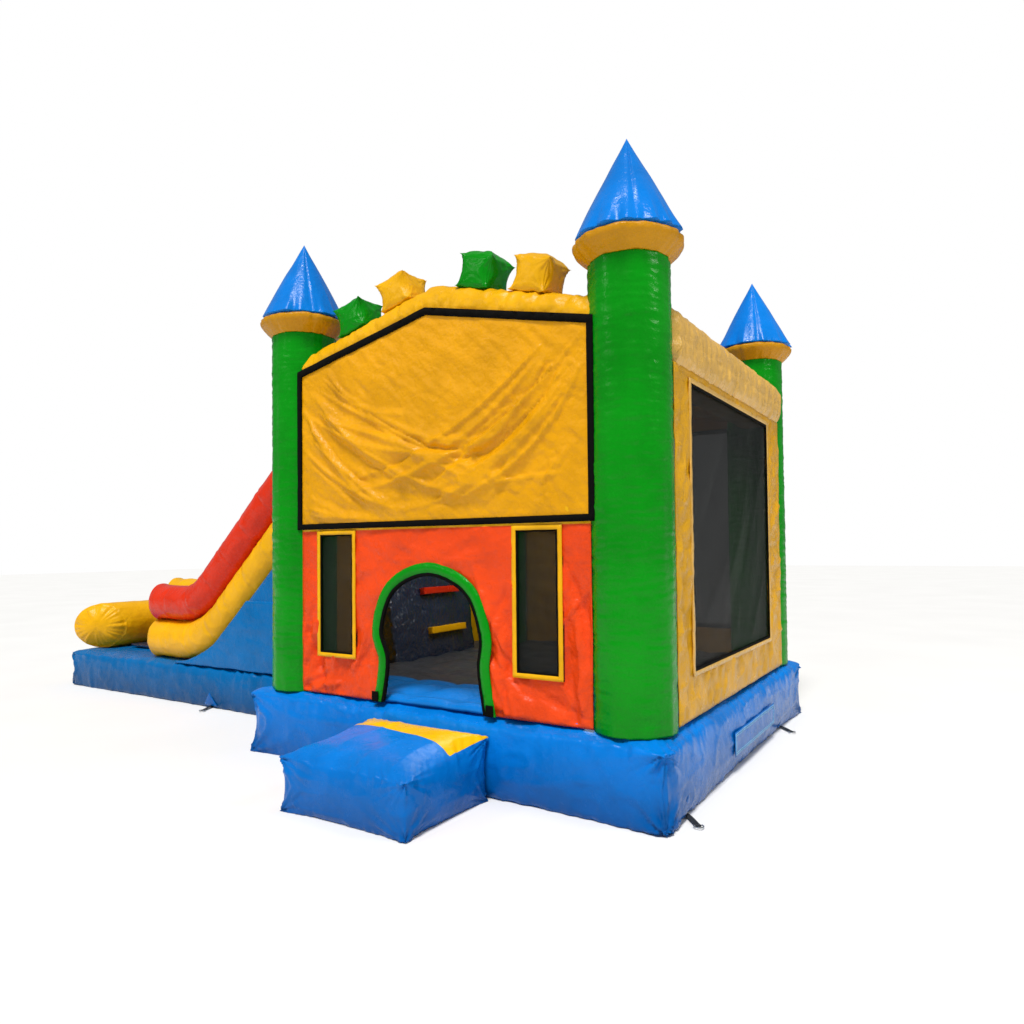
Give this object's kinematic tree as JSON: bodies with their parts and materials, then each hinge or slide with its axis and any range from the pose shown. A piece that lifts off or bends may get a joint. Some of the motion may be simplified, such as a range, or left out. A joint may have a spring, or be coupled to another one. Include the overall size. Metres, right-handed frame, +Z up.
{
  "type": "inflatable bounce house",
  "caption": "Inflatable bounce house with corner towers, cone tops, mesh windows, a climbing wall, and a side slide into a splash pool, fed by a blower.",
  "frame": {"origin": "centre of the footprint's bounding box, on the ground", "axes": "+X along the front from the pool end towards the house, +Y from the entry step towards the blower, +Z up"},
  "size_m": [8.562, 5.787, 4.372],
  "materials": {
    "vinyl_blue": "glossy PVC-coated fabric",
    "vinyl_green": "glossy PVC-coated fabric",
    "vinyl_yellow": "glossy PVC-coated fabric",
    "vinyl_mustard": "glossy PVC-coated fabric",
    "vinyl_orange": "glossy PVC-coated fabric",
    "vinyl_red": "glossy PVC-coated fabric",
    "vinyl_navy": "glossy PVC-coated fabric",
    "vinyl_grey": "glossy PVC-coated fabric",
    "tape_black": "hook-and-loop tape and webbing",
    "mesh_black": "knitted safety mesh",
    "steel": "zinc-plated steel",
    "plastic_black": "moulded plastic",
    "plastic_red": "moulded plastic"
  },
  "bodies": {
    "shell": {"base_mattress": "vinyl_blue", "floor_baffles": "vinyl_blue", "roof_sheet": "vinyl_blue", "entry_step": "vinyl_blue", "slide_base": "vinyl_blue", "slide_body": "vinyl_blue", "inflation_sleeve": "vinyl_blue", "jump_floor": "vinyl_grey", "tower_front_left": "vinyl_green", "collar_front_left": "vinyl_mustard", "cone_front_left": "vinyl_blue", "tower_front_right": "vinyl_green", "collar_front_right": "vinyl_mustard", "cone_front_right": "vinyl_blue", "tower_back_right": "vinyl_green", "collar_back_right": "vinyl_mustard", "cone_back_right": "vinyl_blue", "tower_back_left": "vinyl_green", "collar_back_left": "vinyl_mustard", "cone_back_left": "vinyl_blue", "front_beam": "vinyl_yellow", "back_beam": "vinyl_yellow", "left_beam": "vinyl_yellow", "right_beam": "vinyl_yellow", "banner_panel": "vinyl_yellow", "right_wall": "vinyl_yellow", "left_wall": "vinyl_yellow", "back_wall": "vinyl_yellow", "near_rail_lower": "vinyl_yellow", "far_rail_upper": "vinyl_yellow", "pool_wall": "vinyl_yellow", "climb_hold_yellow": "vinyl_yellow", "merlon_yellow_left": "vinyl_yellow", "merlon_yellow_right": "vinyl_yellow", "merlon_green_left": "vinyl_green", "merlon_green_right": "vinyl_green", "door_trim": "vinyl_green", "front_wall": "vinyl_orange", "near_rail_upper": "vinyl_red", "far_rail_lower": "vinyl_red", "climb_hold_red": "vinyl_red", "climbing_wall": "vinyl_navy", "slide_lane": "vinyl_navy", "banner_border": "tape_black", "sleeve_strap": "tape_black", "window_mesh_left": "mesh_black", "window_mesh_right": "mesh_black", "right_mesh": "mesh_black", "back_mesh": "mesh_black", "blower_grille": "steel", "blower_housing": "plastic_black", "blower_motor": "plastic_black"},
    "blower_rotor": {"blower_impeller": "steel"},
    "rocker": {"blower_switch": "plastic_red"},
    "flap": {"deflation_flap": "vinyl_blue"},
    "slider": {"zip_slider": "steel"},
    "ring_front_right": {"anchor_ring_front_right": "steel"},
    "ring_back_right": {"anchor_ring_back_right": "steel"},
    "ring_slide_front": {"anchor_ring_slide_front": "steel"},
    "ring_slide_back": {"anchor_ring_slide_back": "steel"}
  },
  "joints": [
    {"name": "ring_front_right_swing", "type": "hinge", "parent": "shell", "child": "ring_front_right", "pos_m": [4.24041, -1.81841, 0.014], "axis": [-0.766, -0.6428, 0], "range_deg": [0, 150]},
    {"name": "ring_back_right_swing", "type": "hinge", "parent": "shell", "child": "ring_back_right", "pos_m": [4.24041, 0.80159, 0.014], "axis": [-0.766, -0.6428, 0], "range_deg": [0, 150]},
    {"name": "ring_slide_front_swing", "type": "hinge", "parent": "shell", "child": "ring_slide_front", "pos_m": [-1.28291, -1.33215, 0.014], "axis": [-0.891, -0.454, 0], "range_deg": [0, 150]},
    {"name": "ring_slide_back_swing", "type": "hinge", "parent": "shell", "child": "ring_slide_back", "pos_m": [-1.28291, 0.68515, 0.014], "axis": [0.891, -0.454, 0], "range_deg": [0, 150]},
    {"name": "impeller_spin", "type": "hinge", "parent": "shell", "child": "blower_rotor", "pos_m": [3.16899, 2.6565, 0.3], "axis": [1, 0, 0], "continuous": true},
    {"name": "switch_rock", "type": "hinge", "parent": "shell", "child": "rocker", "pos_m": [3.11899, 2.8835, 0.32], "axis": [1, 0, 0], "range_deg": [0, 12]},
    {"name": "flap_lift", "type": "hinge", "parent": "shell", "child": "flap", "pos_m": [4.15899, -0.0935, 0.315], "axis": [0, -1, 0], "range_deg": [0, 120]},
    {"name": "zip_travel", "type": "slide", "parent": "shell", "child": "slider", "axis": [0, 1, 0], "range_m": [0, 1.06]}
  ]
}
